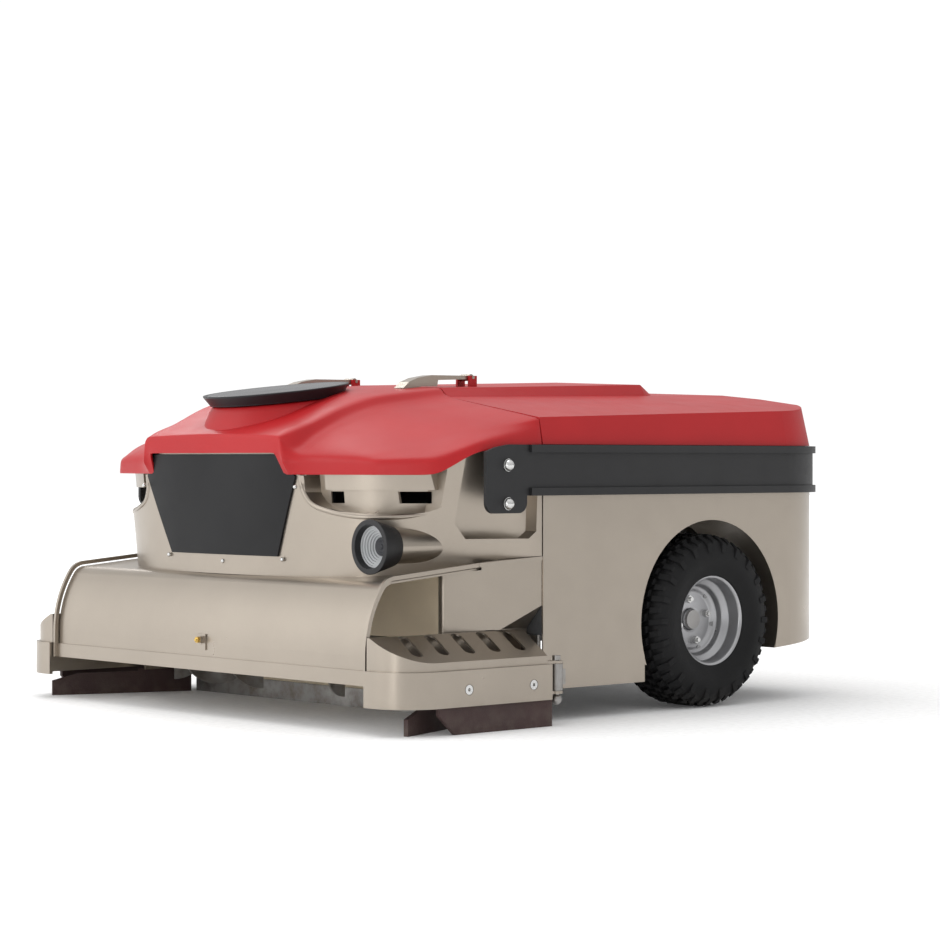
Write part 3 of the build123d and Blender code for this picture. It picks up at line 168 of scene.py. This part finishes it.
finishes = {
    gold: "front_shell rear_shell scoop_hood left_rim_bar right_rim_bar left_pod right_pod left_bumper right_bumper "
          "nozzle_bracket hinge_straps left_side_wall right_side_wall",
    # the housing takes the lightened copy of the gold, painted bounce light
    bounce_lit_housing_gold: "auger_housing",
    red: "front_hood rear_lid",
    black: "rub_rail sonar_shroud",
    panel_black: "front_panel",
    blade_rubber: "squeegee_blade left_guide_blade right_guide_blade left_side_skirt right_side_skirt",
    tyre_rubber: "left_tyre right_tyre caster_wheel",
    rim_silver: "left_rim right_rim",
    zinc: "panel_screws rub_rail_nuts left_bumper_screws right_bumper_screws left_lug_nuts right_lug_nuts",
    steel: "pod_hinge_pins squeegee_wear_strip auger_axle auger_rotor left_wheel_hub right_wheel_hub",
    stainless: "manure_tank suction_duct dump_gate",
    coated: "left_frame_rail right_frame_rail front_crossmember rear_crossmember caster_mount caster_fork",
    casting: "vacuum_pump left_gearmotor right_gearmotor",
    brass: "spray_nozzle",
    light_plastic: "sonar_diaphragm",
    white_plastic: "water_tank",
    dark_plastic: "battery_pack",
    panel_body: "control_panel",
    grey_paint: "control_box",
    button_red: "emergency_stop",
}
for mat, names in finishes.items():
    for name in names.split():
        mesh = nodes[name].data
        mesh.materials.clear()
        mesh.materials.append(mat)

# ---------------------------------------------------------------- helpers for pieces


def st(station):
    """Y of a distance back from the front, both in metres."""
    return front_y + station


def soften(obj, width, segments=2, angle=30):
    """Rounds the edges of a piece."""
    bevel = obj.modifiers.new("edge", "BEVEL")
    bevel.width = width
    bevel.segments = segments
    bevel.limit_method = "ANGLE"
    bevel.angle_limit = radians(angle)
    bevel.harden_normals = False
    normals = obj.modifiers.new("normals", "WEIGHTED_NORMAL")
    normals.keep_sharp = True
    for polygon in obj.data.polygons:
        polygon.use_smooth = True


def make_piece(name, verts, faces, material, body, replaces=None, smooth=True, creases=None, corners=None):
    """A mesh piece that rides on a body. creases is {(vertex, vertex): weight} and corners {vertex: weight}."""
    mesh = bpy.data.meshes.new(name)
    mesh.from_pydata([tuple(v) for v in verts], [], faces)
    bm = bmesh.new()
    bm.from_mesh(mesh)
    bm.verts.ensure_lookup_table()
    if creases:
        layer = bm.edges.layers.float.new("crease_edge")
        for (a, b), weight in creases.items():
            edge = bm.edges.get((bm.verts[a], bm.verts[b]))
            if edge:
                edge[layer] = weight
    if corners:
        layer = bm.verts.layers.float.new("crease_vert")
        for vertex, weight in corners.items():
            bm.verts[vertex][layer] = weight
    bmesh.ops.recalc_face_normals(bm, faces=bm.faces)
    bm.to_mesh(mesh)
    bm.free()
    mesh.materials.append(material)
    for polygon in mesh.polygons:
        polygon.use_smooth = smooth
    obj = bpy.data.objects.new(name, mesh)
    bpy.context.scene.collection.objects.link(obj)
    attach(obj, body)
    if replaces:
        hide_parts(*replaces.split())
    return obj


def subdivide(obj, levels):
    modifier = obj.modifiers.new("smooth", "SUBSURF")
    modifier.levels = levels
    modifier.render_levels = levels


def turned(profile, segments, centre, axis):
    """Vertices and quads of a profile of (along, radius) points turned about an axis through centre."""
    along = Vector(axis)
    u = along.orthogonal().normalized()
    w = along.cross(u)
    verts, faces = [], []
    count = len(profile)
    for i in range(segments):
        angle = 2 * pi * i / segments
        out = u * cos(angle) + w * sin(angle)
        verts += [Vector(centre) + along * a + out * r for a, r in profile]
    for i in range(segments):
        for k in range(count - 1):
            a, b = i * count + k, (i + 1) % segments * count + k
            faces.append((a, a + 1, b + 1, b))
    return verts, faces


def rounded(points, radius, steps=3):
    """A profile with each inner corner rounded by up to radius."""
    out = [points[0]]
    for before, here, after in zip(points, points[1:], points[2:]):
        here, before, after = Vector(here), Vector(before), Vector(after)
        reach = min(radius, (before - here).length * 0.45, (after - here).length * 0.45)
        a = here + (before - here).normalized() * reach
        b = here + (after - here).normalized() * reach
        for step in range(steps + 1):
            t = step / steps
            out.append(tuple(a * (1 - t) ** 2 + here * 2 * t * (1 - t) + b * t ** 2))
    return out + [points[-1]]


edge_widths = {
    0.0025: "scoop_hood left_rim_bar right_rim_bar front_panel rub_rail hinge_straps left_side_wall right_side_wall",
    0.004: "left_pod right_pod left_bumper right_bumper",
    0.0015: "left_side_skirt right_side_skirt left_guide_blade right_guide_blade squeegee_blade nozzle_bracket "
            "sonar_shroud pod_hinge_pins rear_shell battery_pack control_box",
    0.0008: "sonar_diaphragm left_lug_nuts right_lug_nuts spray_nozzle left_bumper_screws right_bumper_screws",
}
for width, names in edge_widths.items():
    for name in names.split():
        soften(nodes[name], width)
soften(nodes["rear_lid"], 0.008, 3, 12)
soften(nodes["front_shell"], 0.005, 3, 35)

# ---------------------------------------------------------------- front hood
# Rows from front to back: station, then (x, z) from the side's lower edge to the middle, in millimetres.
hood_rows = [
    (43, [(264, 547), (262, 574), (260, 594), (256, 622), (248, 632), (124, 636), (0, 638)]),
    (73, [(298, 547), (295, 575), (288, 586), (274, 600), (258, 647), (129, 650), (0, 652)]),
    (101, [(392, 547), (389, 576), (376, 588), (275, 616), (259, 656), (129, 661), (0, 664)]),
    (129, [(480, 547), (478, 577), (448, 590), (276, 632), (260, 665), (130, 672), (0, 676)]),
    (168, [(540, 547), (536, 582), (481, 600), (283, 652), (264, 683), (132, 690), (0, 694)]),
    (207, [(592, 547), (588, 584), (500, 611), (290, 671), (268, 700), (134, 707), (0, 711)]),
    (249, [(617, 574), (612, 602), (519, 622), (297, 686), (275, 713), (137, 721), (0, 725)]),
    (291, [(632, 600), (628, 620), (542, 635), (303, 699), (281, 725), (141, 733), (0, 737)]),
    (380, [(637, 608), (631, 637), (588, 655), (313, 711), (290, 735), (145, 744), (0, 748)]),
    (475, [(639, 614), (633, 650), (629, 672), (325, 724), (300, 745), (150, 753), (0, 757)]),
]
hood_lean = 20
brow_edge = [(247, 547, hood_lean), (236, 595, 0), (124, 595, 0), (0, 595, 0)]
cover_wall = 0.005


def build_hood():
    mm = 0.001
    verts, faces, creases = [], [], {}
    columns = len(hood_rows[0][1]) * 2 - 1
    index = {}
    for r, (station, points) in enumerate(hood_rows):
        whole = [(x, z) for x, z in points] + [(-x, z) for x, z in reversed(points[:-1])]
        for c, (x, z) in enumerate(whole):
            lean = hood_lean if r == 0 and z == 547 else 0
            index[r, c] = len(verts)
            verts.append((x * mm * wide, st((station + lean) * mm), z * mm))
    for r in range(len(hood_rows) - 1):
        for c in range(columns - 1):
            faces.append((index[r, c], index[r, c + 1], index[r + 1, c + 1], index[r + 1, c]))
    cap = []
    whole = brow_edge + [(-x, z, lean) for x, z, lean in reversed(brow_edge[:-1])]
    for x, z, lean in whole:
        cap.append(len(verts))
        verts.append((x * mm * wide, st((hood_rows[0][0] + lean) * mm), z * mm))
    last = columns - 1
    pairs = [(0, 0), (2, 1), (4, 1), (5, 2), (6, 3), (7, 4), (8, 5), (10, 5), (12, 6)]
    for (c0, k0), (c1, k1) in zip(pairs, pairs[1:]):
        outer = [index[0, c] for c in range(c0, c1 + 1)]
        inner = [cap[k0]] if k0 == k1 else [cap[k1], cap[k0]]
        faces.append(tuple(outer + inner))
    for c in range(columns - 1):
        creases[index[0, c], index[0, c + 1]] = 0.55
        creases[index[len(hood_rows) - 1, c], index[len(hood_rows) - 1, c + 1]] = 1.0
    for r in range(len(hood_rows) - 1):
        for c, weight in ((0, 1.0), (1, 0.35), (2, 0.5 if r > 2 else 0.35), (3, 0.4), (4, 0.45)):
            for column in (c, last - c):
                creases[index[r, column], index[r + 1, column]] = weight
    for r in (3, 5):
        for c in (0, last):
            inward = 1 if c == 0 else -1
            creases[index[r, c], index[r, c + inward]] = 0.45 if r == 3 else 0.25
            creases[index[r, c + inward], index[r, c + 2 * inward]] = 0.3
    for k in range(len(cap) - 1):
        creases[cap[k], cap[k + 1]] = 1.0
    creases[index[0, 0], cap[0]] = 1.0
    creases[index[0, last], cap[-1]] = 1.0
    corners = {cap[1]: 0.8, cap[-2]: 0.8, cap[0]: 1.0, cap[-1]: 1.0, index[0, 0]: 1.0, index[0, last]: 1.0}
    hood = make_piece("hood_shell", verts, faces, red, "front_cover", "front_hood", creases=creases,
                      corners=corners)
    subdivide(hood, 3)
    wall = hood.modifiers.new("wall", "SOLIDIFY")
    wall.thickness = cover_wall
    wall.offset = -1
    rim = hood.modifiers.new("rim", "BEVEL")
    rim.width = 0.0016
    rim.segments = 2
    rim.limit_method = "ANGLE"
    rim.angle_limit = radians(50)


build_hood()

# The seat under the control panel, and the panel itself, on the panel's tilted axis.
panel_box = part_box("control_panel")
panel_tilt = radians(7)
panel_axis = Vector((0, -sin(panel_tilt), cos(panel_tilt)))
panel_radius = (panel_box[1][0] - panel_box[0][0]) / 2
panel_centre = Vector((0, (panel_box[0][1] + panel_box[1][1]) / 2, 0))
panel_centre.z = panel_box[1][2] - panel_radius * sin(panel_tilt)
panel_height, panel_foot = 0.026, 0.155


def build_panel():
    h, r, foot = panel_height, panel_radius, panel_foot
    body = rounded([(-h, 0), (-h, foot), (-h + 0.003, foot + 0.001), (-0.004, r - 0.0015), (-0.0005, r - 0.001),
                    (-0.0005, r - 0.007), (-0.003, r - 0.010), (-0.003, 0)], 0.002)
    verts, faces = turned(body, 128, panel_centre, panel_axis)
    make_piece("panel_body", verts, faces, panel_body, "front_cover", "control_panel")
    glass = rounded([(-0.006, r - 0.0105), (-0.0012, r - 0.0105), (-0.0005, r - 0.013), (-0.0002, 0)], 0.001)
    verts, faces = turned(glass, 128, panel_centre, panel_axis)
    make_piece("panel_glass", verts, faces, panel_glass, "front_cover")
    seat = [(-h - 0.052, foot + 0.024), (-h - 0.030, foot + 0.012), (-h - 0.010, foot + 0.001),
            (-h - 0.001, foot - 0.006), (-h - 0.001, foot - 0.016)]
    verts, faces = turned(rounded(seat, 0.004), 96, panel_centre, panel_axis)
    make_piece("panel_seat", verts, faces, red, "front_cover")


build_panel()

# ---------------------------------------------------------------- wheels
wheel_radius = (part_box("left_tyre")[1][2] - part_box("left_tyre")[0][2]) / 2
tyre_half = (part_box("left_tyre")[1][0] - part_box("left_tyre")[0][0]) / 2
lug_height = 0.009
lug_rows = 44


def block_between(corners, verts, faces):
    """Adds a closed block from four foot points and four top points."""
    start = len(verts)
    verts += corners
    faces += [tuple(start + k for k in quad) for quad in
              ((0, 1, 2, 3), (7, 6, 5, 4), (0, 4, 5, 1), (1, 5, 6, 2), (2, 6, 7, 3), (3, 7, 4, 0))]


def build_tyre(side):
    node = f"{side}_tyre"
    low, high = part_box(node)
    centre = (Vector(low) + Vector(high)) / 2
    r, w = wheel_radius, tyre_half
    bead = 0.103    # the tyre's inner edge on the rim
    crown = r - lug_height
    section = [(-w + 0.014, bead), (-w + 0.010, bead + 0.016), (-w + 0.002, bead + 0.038), (-w + 0.003, r - 0.042),
               (-w + 0.012, crown - 0.008), (-w + 0.032, crown), (0, crown + 0.001), (w - 0.032, crown),
               (w - 0.012, crown - 0.008), (w - 0.003, r - 0.042), (w - 0.002, bead + 0.038), (w - 0.010, bead + 0.016),
               (w - 0.014, bead), (w - 0.026, bead + 0.004), (w - 0.026, bead + 0.040), (w - 0.026, r - 0.034),
               (-w + 0.026, r - 0.034), (-w + 0.026, bead + 0.040), (-w + 0.026, bead + 0.004), (-w + 0.014, bead)]
    verts, faces = turned(rounded(section, 0.012), 144, centre, (1, 0, 0))
    u = Vector((1, 0, 0)).orthogonal().normalized()
    v = Vector((1, 0, 0)).cross(u)

    def at(along, radius, angle):
        out = u * cos(angle) + v * sin(angle)
        return centre + Vector((along, 0, 0)) + out * radius

    step = 2 * pi / lug_rows

    def lug(a0, a1, turn0, turn1, skew, root, top, drop=0.0):
        """One block between two places across the tread, leaning by skew from its one end to its other."""
        taper = 0.0016
        foot, head = [], []
        for along, turn in ((a0, turn0), (a1, turn0 + skew), (a1, turn1 + skew), (a0, turn1)):
            outer = abs(along) > w - 0.012
            base = root - (drop if outer else 0)
            foot.append(at(along, base, turn * step))
            middle = (a0 + a1) / 2
            inset = taper if along > middle else -taper
            head_turn = turn + (0.05 if turn < (turn0 + turn1) / 2 else -0.05)
            head.append(at(along - inset, top - (drop * 0.8 if outer else 0), head_turn * step))
        block_between(foot + head, verts, faces)

    for i in range(lug_rows):
        stagger = 0.5 * (i % 2)
        lug(-0.020, -0.003, i, i + 0.62, 0.22, crown - 0.003, r)
        lug(0.003, 0.020, i + 0.35, i + 0.97, 0.22, crown - 0.003, r)
        lug(-0.045 - 0.003 * (i % 2), -0.024, i + 0.15, i + 0.80, -0.25, crown - 0.004, r - 0.001)
        lug(0.024, 0.045 + 0.003 * (i % 2), i - 0.10, i + 0.55, -0.25, crown - 0.004, r - 0.001)
        reach = w - 0.002 - 0.007 * (i % 2)
        lug(-reach, -0.052, i, i + 0.60, 0.12, crown - 0.012, r - 0.003, 0.022 - stagger * 0.012)
        lug(0.052, reach, i + 0.12, i + 0.72, -0.12, crown - 0.012, r - 0.003, 0.022 - stagger * 0.012)
    tyre = make_piece(f"{side}_tyre_tread", verts, faces, tyre_rubber, f"{side}_wheel", node)
    edge = tyre.modifiers.new("edge", "BEVEL")
    edge.width = 0.0008
    edge.segments = 1
    edge.limit_method = "ANGLE"
    edge.angle_limit = radians(40)
    normals = tyre.modifiers.new("normals", "WEIGHTED_NORMAL")
    normals.keep_sharp = True


def build_rim(side):
    node = f"{side}_rim"
    low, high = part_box(node)
    sign = 1 if side == "left" else -1
    outer = high[0] if sign > 0 else -low[0]
    width = high[0] - low[0]
    centre = Vector((0, (low[1] + high[1]) / 2, (low[2] + high[2]) / 2))
    flange = (high[2] - low[2]) / 2
    disc = 0.072    # the wheel disc's depth inside the outer flange
    # closed section from the outer flange's lip, down the dish to the hub hole, and back outside the barrel
    section = [(0, flange - 0.004), (0.0005, flange), (-0.004, flange), (-0.0055, flange - 0.0135),
               (-0.042, flange - 0.0135), (-0.050, flange - 0.029), (-0.086, flange - 0.029), (-0.094, flange - 0.0135),
               (0.0055 - width, flange - 0.0135), (0.004 - width, flange), (-width, flange), (-width, flange - 0.018),
               (-0.100, flange - 0.018), (-0.090, flange - 0.033), (-disc - 0.006, flange - 0.033),
               (-disc - 0.006, 0.024), (-disc, 0.024), (-disc + 0.002, 0.030), (-disc + 0.002, 0.066),
               (-disc + 0.008, 0.072), (-disc + 0.010, flange - 0.036), (-0.046, flange - 0.033),
               (-0.038, flange - 0.018), (-0.006, flange - 0.018), (-0.002, flange - 0.013), (0, flange - 0.004)]
    section = [(sign * (a + outer), r) for a, r in rounded(section, 0.003, 2)]
    verts, faces = turned(section, 120, centre, (1, 0, 0))
    make_piece(f"{side}_rim_turned", verts, faces, rim_silver, f"{side}_wheel", node)
    cap = [(-disc + 0.006, 0.0), (-disc + 0.006, 0.018), (-disc + 0.002, 0.0238), (-disc - 0.004, 0.0238),
           (-disc - 0.004, 0)]
    cap = [(sign * (a + outer), r) for a, r in rounded(cap, 0.002, 2)]
    verts, faces = turned(cap, 48, centre, (1, 0, 0))
    make_piece(f"{side}_hub_cap", verts, faces, rim_silver, f"{side}_wheel")


for side in ("left", "right"):
    build_tyre(side)
    build_rim(side)

# ---------------------------------------------------------------- rounded lips of the front shell's recesses
lip_radius = 0.0062
wing_lip = [(0.288, 0.560), (0.292, 0.528), (0.301, 0.505), (0.318, 0.4835), (0.352, 0.473), (0.390, 0.4655),
            (0.430, 0.4605), (0.470, 0.4595), (0.505, 0.462), (0.535, 0.468)]


def build_lips():
    """A rolled edge of the sheet along each wing recess, laid on the shell just inside its opening."""
    shell = nodes["front_shell"].data
    tree = BVHTree.FromPolygons([v.co for v in shell.vertices], [p.vertices for p in shell.polygons])
    for side, sign in (("left", 1), ("right", -1)):
        path = []
        for x, z in wing_lip:
            away = Vector((x - 0.44, z - 0.56)).normalized() * 0.006
            start = Vector((sign * (x + away.x) * wide, -2, z + away.y))
            hit = tree.ray_cast(start, Vector((0, 1, 0)))[0]
            if hit:
                path.append(hit + Vector((0, lip_radius * 0.45, 0)))
        curve = bpy.data.curves.new(f"{side}_recess_lip", "CURVE")
        curve.dimensions = "3D"
        curve.bevel_depth = lip_radius
        curve.bevel_resolution = 5
        curve.resolution_u = 8
        curve.use_fill_caps = True
        spline = curve.splines.new("NURBS")
        spline.points.add(len(path) - 1)
        for point, place in zip(spline.points, path):
            point.co = (*place, 1)
        spline.points[0].radius = 0.3
        spline.points[-1].radius = 0.1
        spline.order_u = 3
        spline.use_endpoint_u = True
        curve.materials.append(gold)
        lip = bpy.data.objects.new(f"{side}_recess_lip", curve)
        bpy.context.scene.collection.objects.link(lip)
        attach(lip, "chassis")


build_lips()

# ---------------------------------------------------------------- sonar
sonar_low, sonar_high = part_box("sonar_diaphragm")
shroud_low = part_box("sonar_shroud")[0]


def build_sonar():
    """Light stepped rings inside the shroud, round a dark core."""
    centre = Vector(((sonar_low[0] + sonar_high[0]) / 2, shroud_low[1], (sonar_low[2] + sonar_high[2]) / 2))
    rings = [(0.014, 0.0452), (0.014, 0.042)]
    ring_step = 0.0042
    for step in range(5):
        radius = 0.042 - step * ring_step
        depth = 0.014 + step * ring_step
        rings += [(depth + 0.0036, radius - 0.0006), (depth + ring_step, radius - ring_step)]
    rings.append((0.0385, 0.0195))
    verts, faces = turned(rings, 72, centre, (0, 1, 0))
    make_piece("sonar_rings", verts, faces, light_plastic, "chassis", "sonar_diaphragm",
               smooth=False)
    core = rounded([(0.0385, 0.0), (0.0385, 0.0195), (0.033, 0.0195), (0.033, 0.015), (0.036, 0.011), (0.036, 0.006),
                    (0.033, 0.004), (0.033, 0.0)], 0.0008, 2)
    verts, faces = turned(core, 48, centre, (0, 1, 0))
    make_piece("sonar_core", verts, faces, dark_plastic, "chassis")
    shroud = [(0.0, 0.0485), (0.0, 0.0595), (0.002, 0.0599), (0.030, 0.052), (0.060, 0.0439), (0.060, 0.030),
              (0.0445, 0.030), (0.0445, 0.034), (0.0145, 0.0455), (0.0, 0.0485)]
    verts, faces = turned(rounded(shroud, 0.0015, 2), 96, centre, (0, 1, 0))
    make_piece("sonar_funnel", verts, faces, black, "chassis", "sonar_shroud")


build_sonar()

# ---------------------------------------------------------------- floor, light and camera
floor_reach = 30
floor_mesh = bpy.data.meshes.new("floor")
floor_mesh.from_pydata([(-floor_reach, -floor_reach, 0), (floor_reach, -floor_reach, 0),
                        (floor_reach, floor_reach, 0), (-floor_reach, floor_reach, 0)], [], [(0, 1, 2, 3)])
floor = bpy.data.objects.new("floor", floor_mesh)
bpy.context.scene.collection.objects.link(floor)
floor_paint = finish_material("floor_paint", (0.96, 0.96, 0.96), 0.0, 0.8, grain=60, bump=0.0001, spread=0.005,
                              specular=0.1)
floor.data.materials.append(floor_paint)


def glow_far_off(mat):
    """The floor lights itself a little far from the object, so it meets the background without a line."""
    tree = mat.node_tree
    shader = tree.nodes["Principled BSDF"]
    distance = add(tree, "ShaderNodeVectorMath", operation="LENGTH")
    tree.links.new(add(tree, "ShaderNodeTexCoord").outputs["Object"], distance.inputs[0])
    glow = add(tree, "ShaderNodeMapRange", {"From Min": 1.4, "From Max": 6.0, "To Min": 0.04, "To Max": 0.45})
    tree.links.new(distance.outputs["Value"], glow.inputs["Value"])
    tree.links.new(glow.outputs["Result"], shader.inputs["Emission Strength"])
    shader.inputs["Emission Color"].default_value = (1, 1, 1, 1)


glow_far_off(floor_paint)

world = bpy.data.worlds.new("studio")
bpy.context.scene.world = world
world.use_nodes = True


def build_world(world):
    """White to the camera; to the object, brighter from above and from ahead than from its side."""
    tree = world.node_tree
    background = tree.nodes["Background"]
    split = add(tree, "ShaderNodeSeparateXYZ")
    direction = add(tree, "ShaderNodeTexCoord").outputs["Generated"]
    tree.links.new(direction, split.inputs[0])
    above = add(tree, "ShaderNodeMapRange", {"From Min": 0.05, "From Max": 0.8, "To Min": 0.56, "To Max": 0.98})
    tree.links.new(split.outputs["Z"], above.inputs["Value"])
    toward = add(tree, "ShaderNodeVectorMath", operation="DOT_PRODUCT")
    toward.inputs[1].default_value = (-0.53, -0.84, 0.08)
    tree.links.new(direction, toward.inputs[0])
    ahead = add(tree, "ShaderNodeMapRange", {"From Min": 0.62, "From Max": 0.97, "To Min": 0.0, "To Max": 1.05})
    tree.links.new(toward.outputs["Value"], ahead.inputs["Value"])
    total = add(tree, "ShaderNodeMath", operation="ADD")
    tree.links.new(above.outputs["Result"], total.inputs[0])
    tree.links.new(ahead.outputs["Result"], total.inputs[1])
    path = add(tree, "ShaderNodeLightPath")
    seen = add(tree, "ShaderNodeMix", {"B": 1.05}, data_type="FLOAT")
    tree.links.new(path.outputs["Is Camera Ray"], seen.inputs["Factor"])
    tree.links.new(total.outputs[0], seen.inputs["A"])
    tree.links.new(seen.outputs["Result"], background.inputs["Strength"])
    background.inputs["Color"].default_value = (1, 1, 1, 1)


build_world(world)


def area_light(name, place, aim, size, power, size_y=None):
    data = bpy.data.lights.new(name, "AREA")
    data.shape = "RECTANGLE"
    data.size = size
    data.size_y = size_y or size
    data.energy = power
    light = bpy.data.objects.new(name, data)
    bpy.context.scene.collection.objects.link(light)
    light.location = place
    light.visible_camera = False
    light.rotation_euler = (Vector(aim) - Vector(place)).to_track_quat("-Z", "Y").to_euler()


body_middle = (0, 0, 0.4)
area_light("top", (-0.3, -0.6, 4.2), body_middle, 2.6, 48)
area_light("key", (-1.4, -4.4, 2.2), body_middle, 1.6, 22)
area_light("corner", (1.6, -4.8, 0.8), (0.3, -0.5, 0.35), 0.45, 16, 1.2)
area_light("rim", (-3.0, 0.6, 3.4), (0, -0.4, 0.4), 0.8, 26, 2.4)

camera_place = (4.862, -4.334, 0.577)
camera_heading = radians(47.8)
camera_pitch = radians(-0.195)
camera_lens = 101.5
camera_data = bpy.data.cameras.new("camera")
camera = bpy.data.objects.new("camera", camera_data)
bpy.context.scene.collection.objects.link(camera)
camera.location = camera_place
view = Vector((-sin(camera_heading) * cos(camera_pitch), cos(camera_heading) * cos(camera_pitch), sin(camera_pitch)))
camera.rotation_euler = view.to_track_quat("-Z", "Y").to_euler()
camera_data.lens = camera_lens
camera_data.sensor_width = 36
bpy.context.scene.camera = camera
bpy.context.scene.view_settings.view_transform = "Standard"
